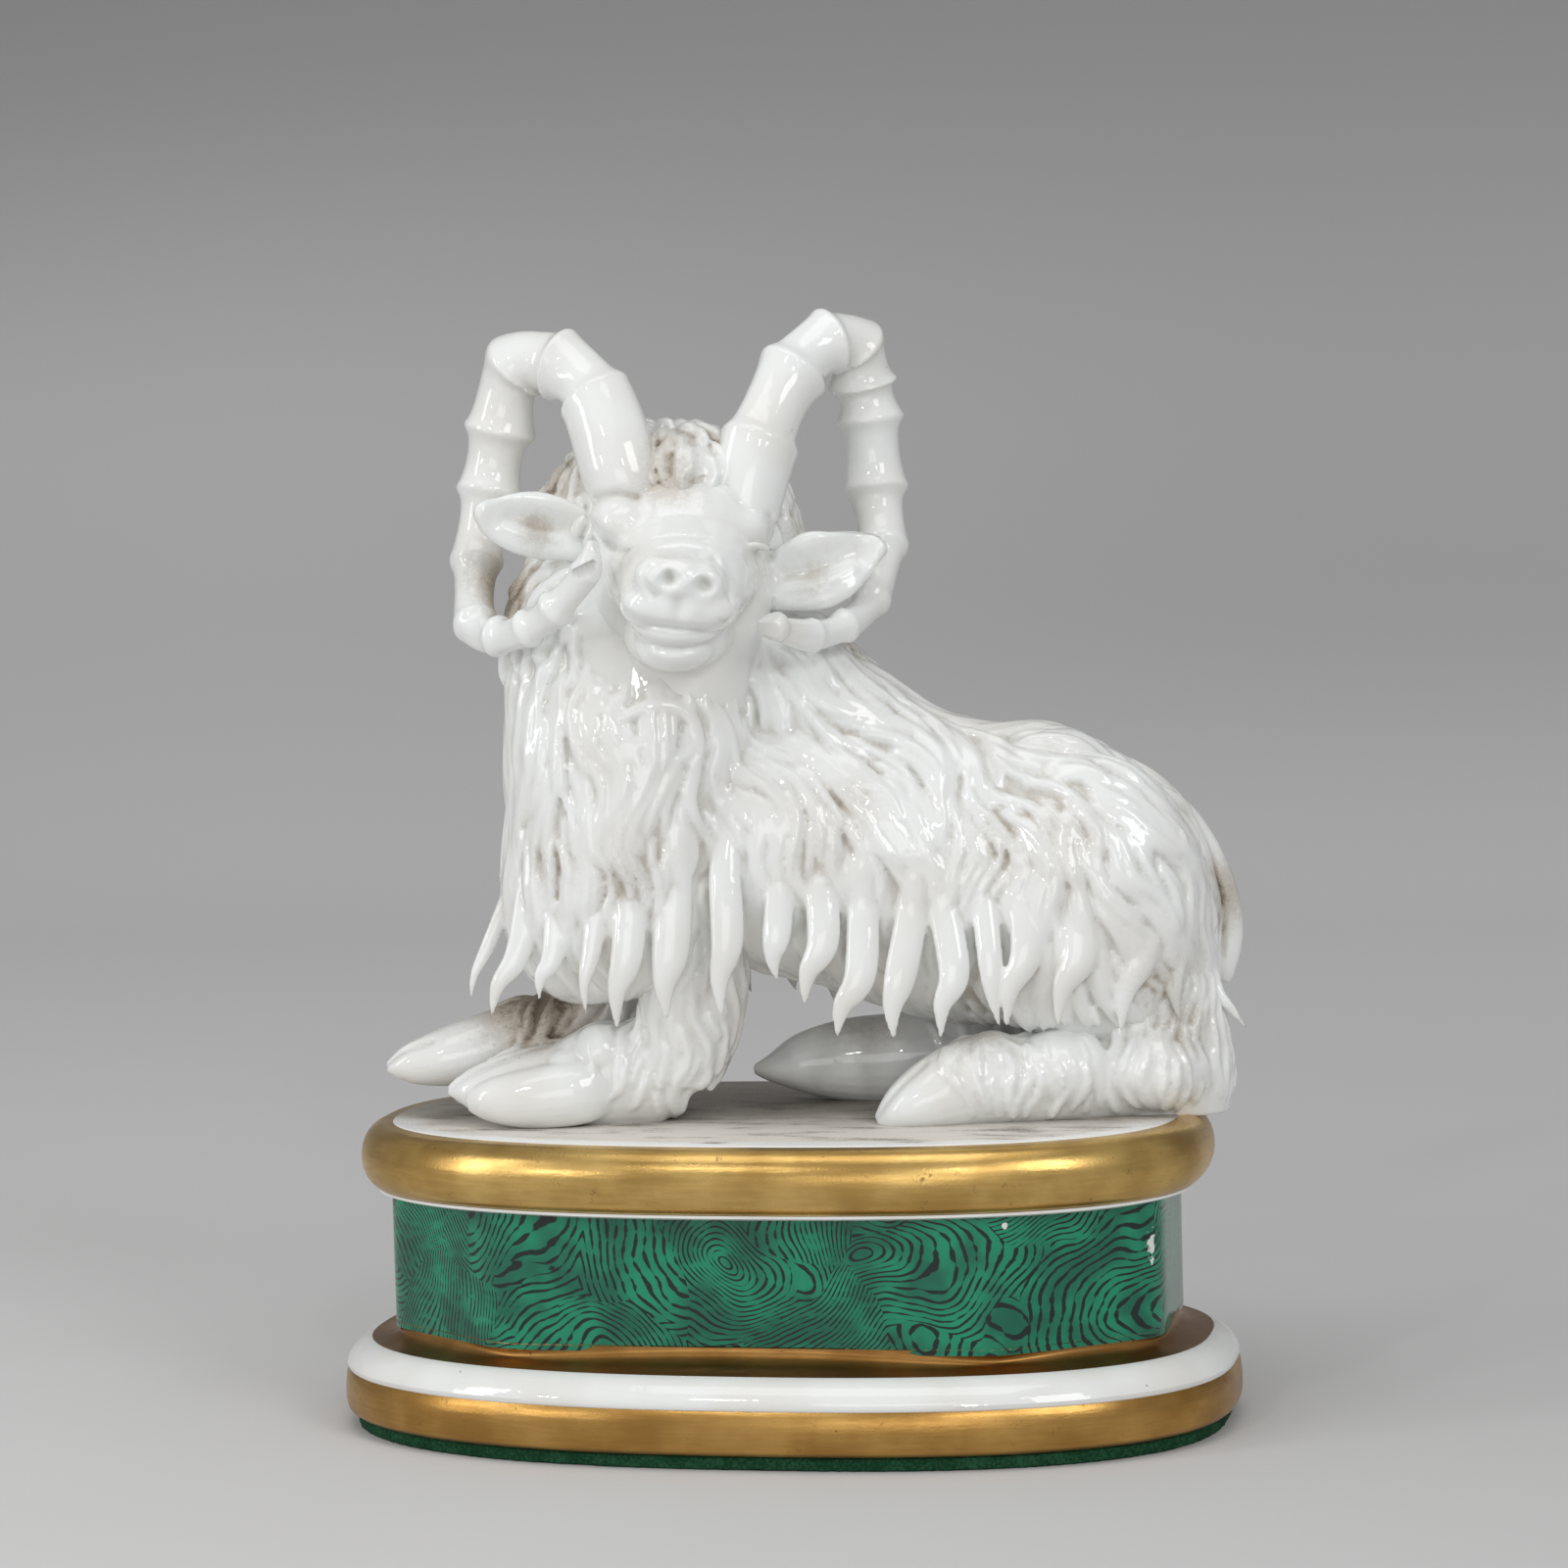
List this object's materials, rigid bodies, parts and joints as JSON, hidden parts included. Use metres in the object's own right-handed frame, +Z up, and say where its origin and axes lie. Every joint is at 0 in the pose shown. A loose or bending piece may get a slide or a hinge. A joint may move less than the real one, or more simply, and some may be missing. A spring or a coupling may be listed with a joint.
{
  "type": "ram figurine",
  "caption": "Glazed white porcelain ram with long curled horns and hanging wool, lying on an oval gilt plinth with a green stone-patterned band and a felt pad.",
  "frame": {"origin": "middle of the felt-covered foot, on the surface that the figurine stands on", "axes": "+X along the plinth towards the rump, +Y away from the face, +Z up"},
  "size_m": [0.206, 0.1202, 0.2442],
  "materials": {
    "porcelain": "white glaze, high gloss, brown dust in the folds",
    "felt": "dark green wool felt"
  },
  "bodies": {
    "root": {"ram_and_plinth": "porcelain", "felt_pad": "felt"}
  },
  "joints": []
}
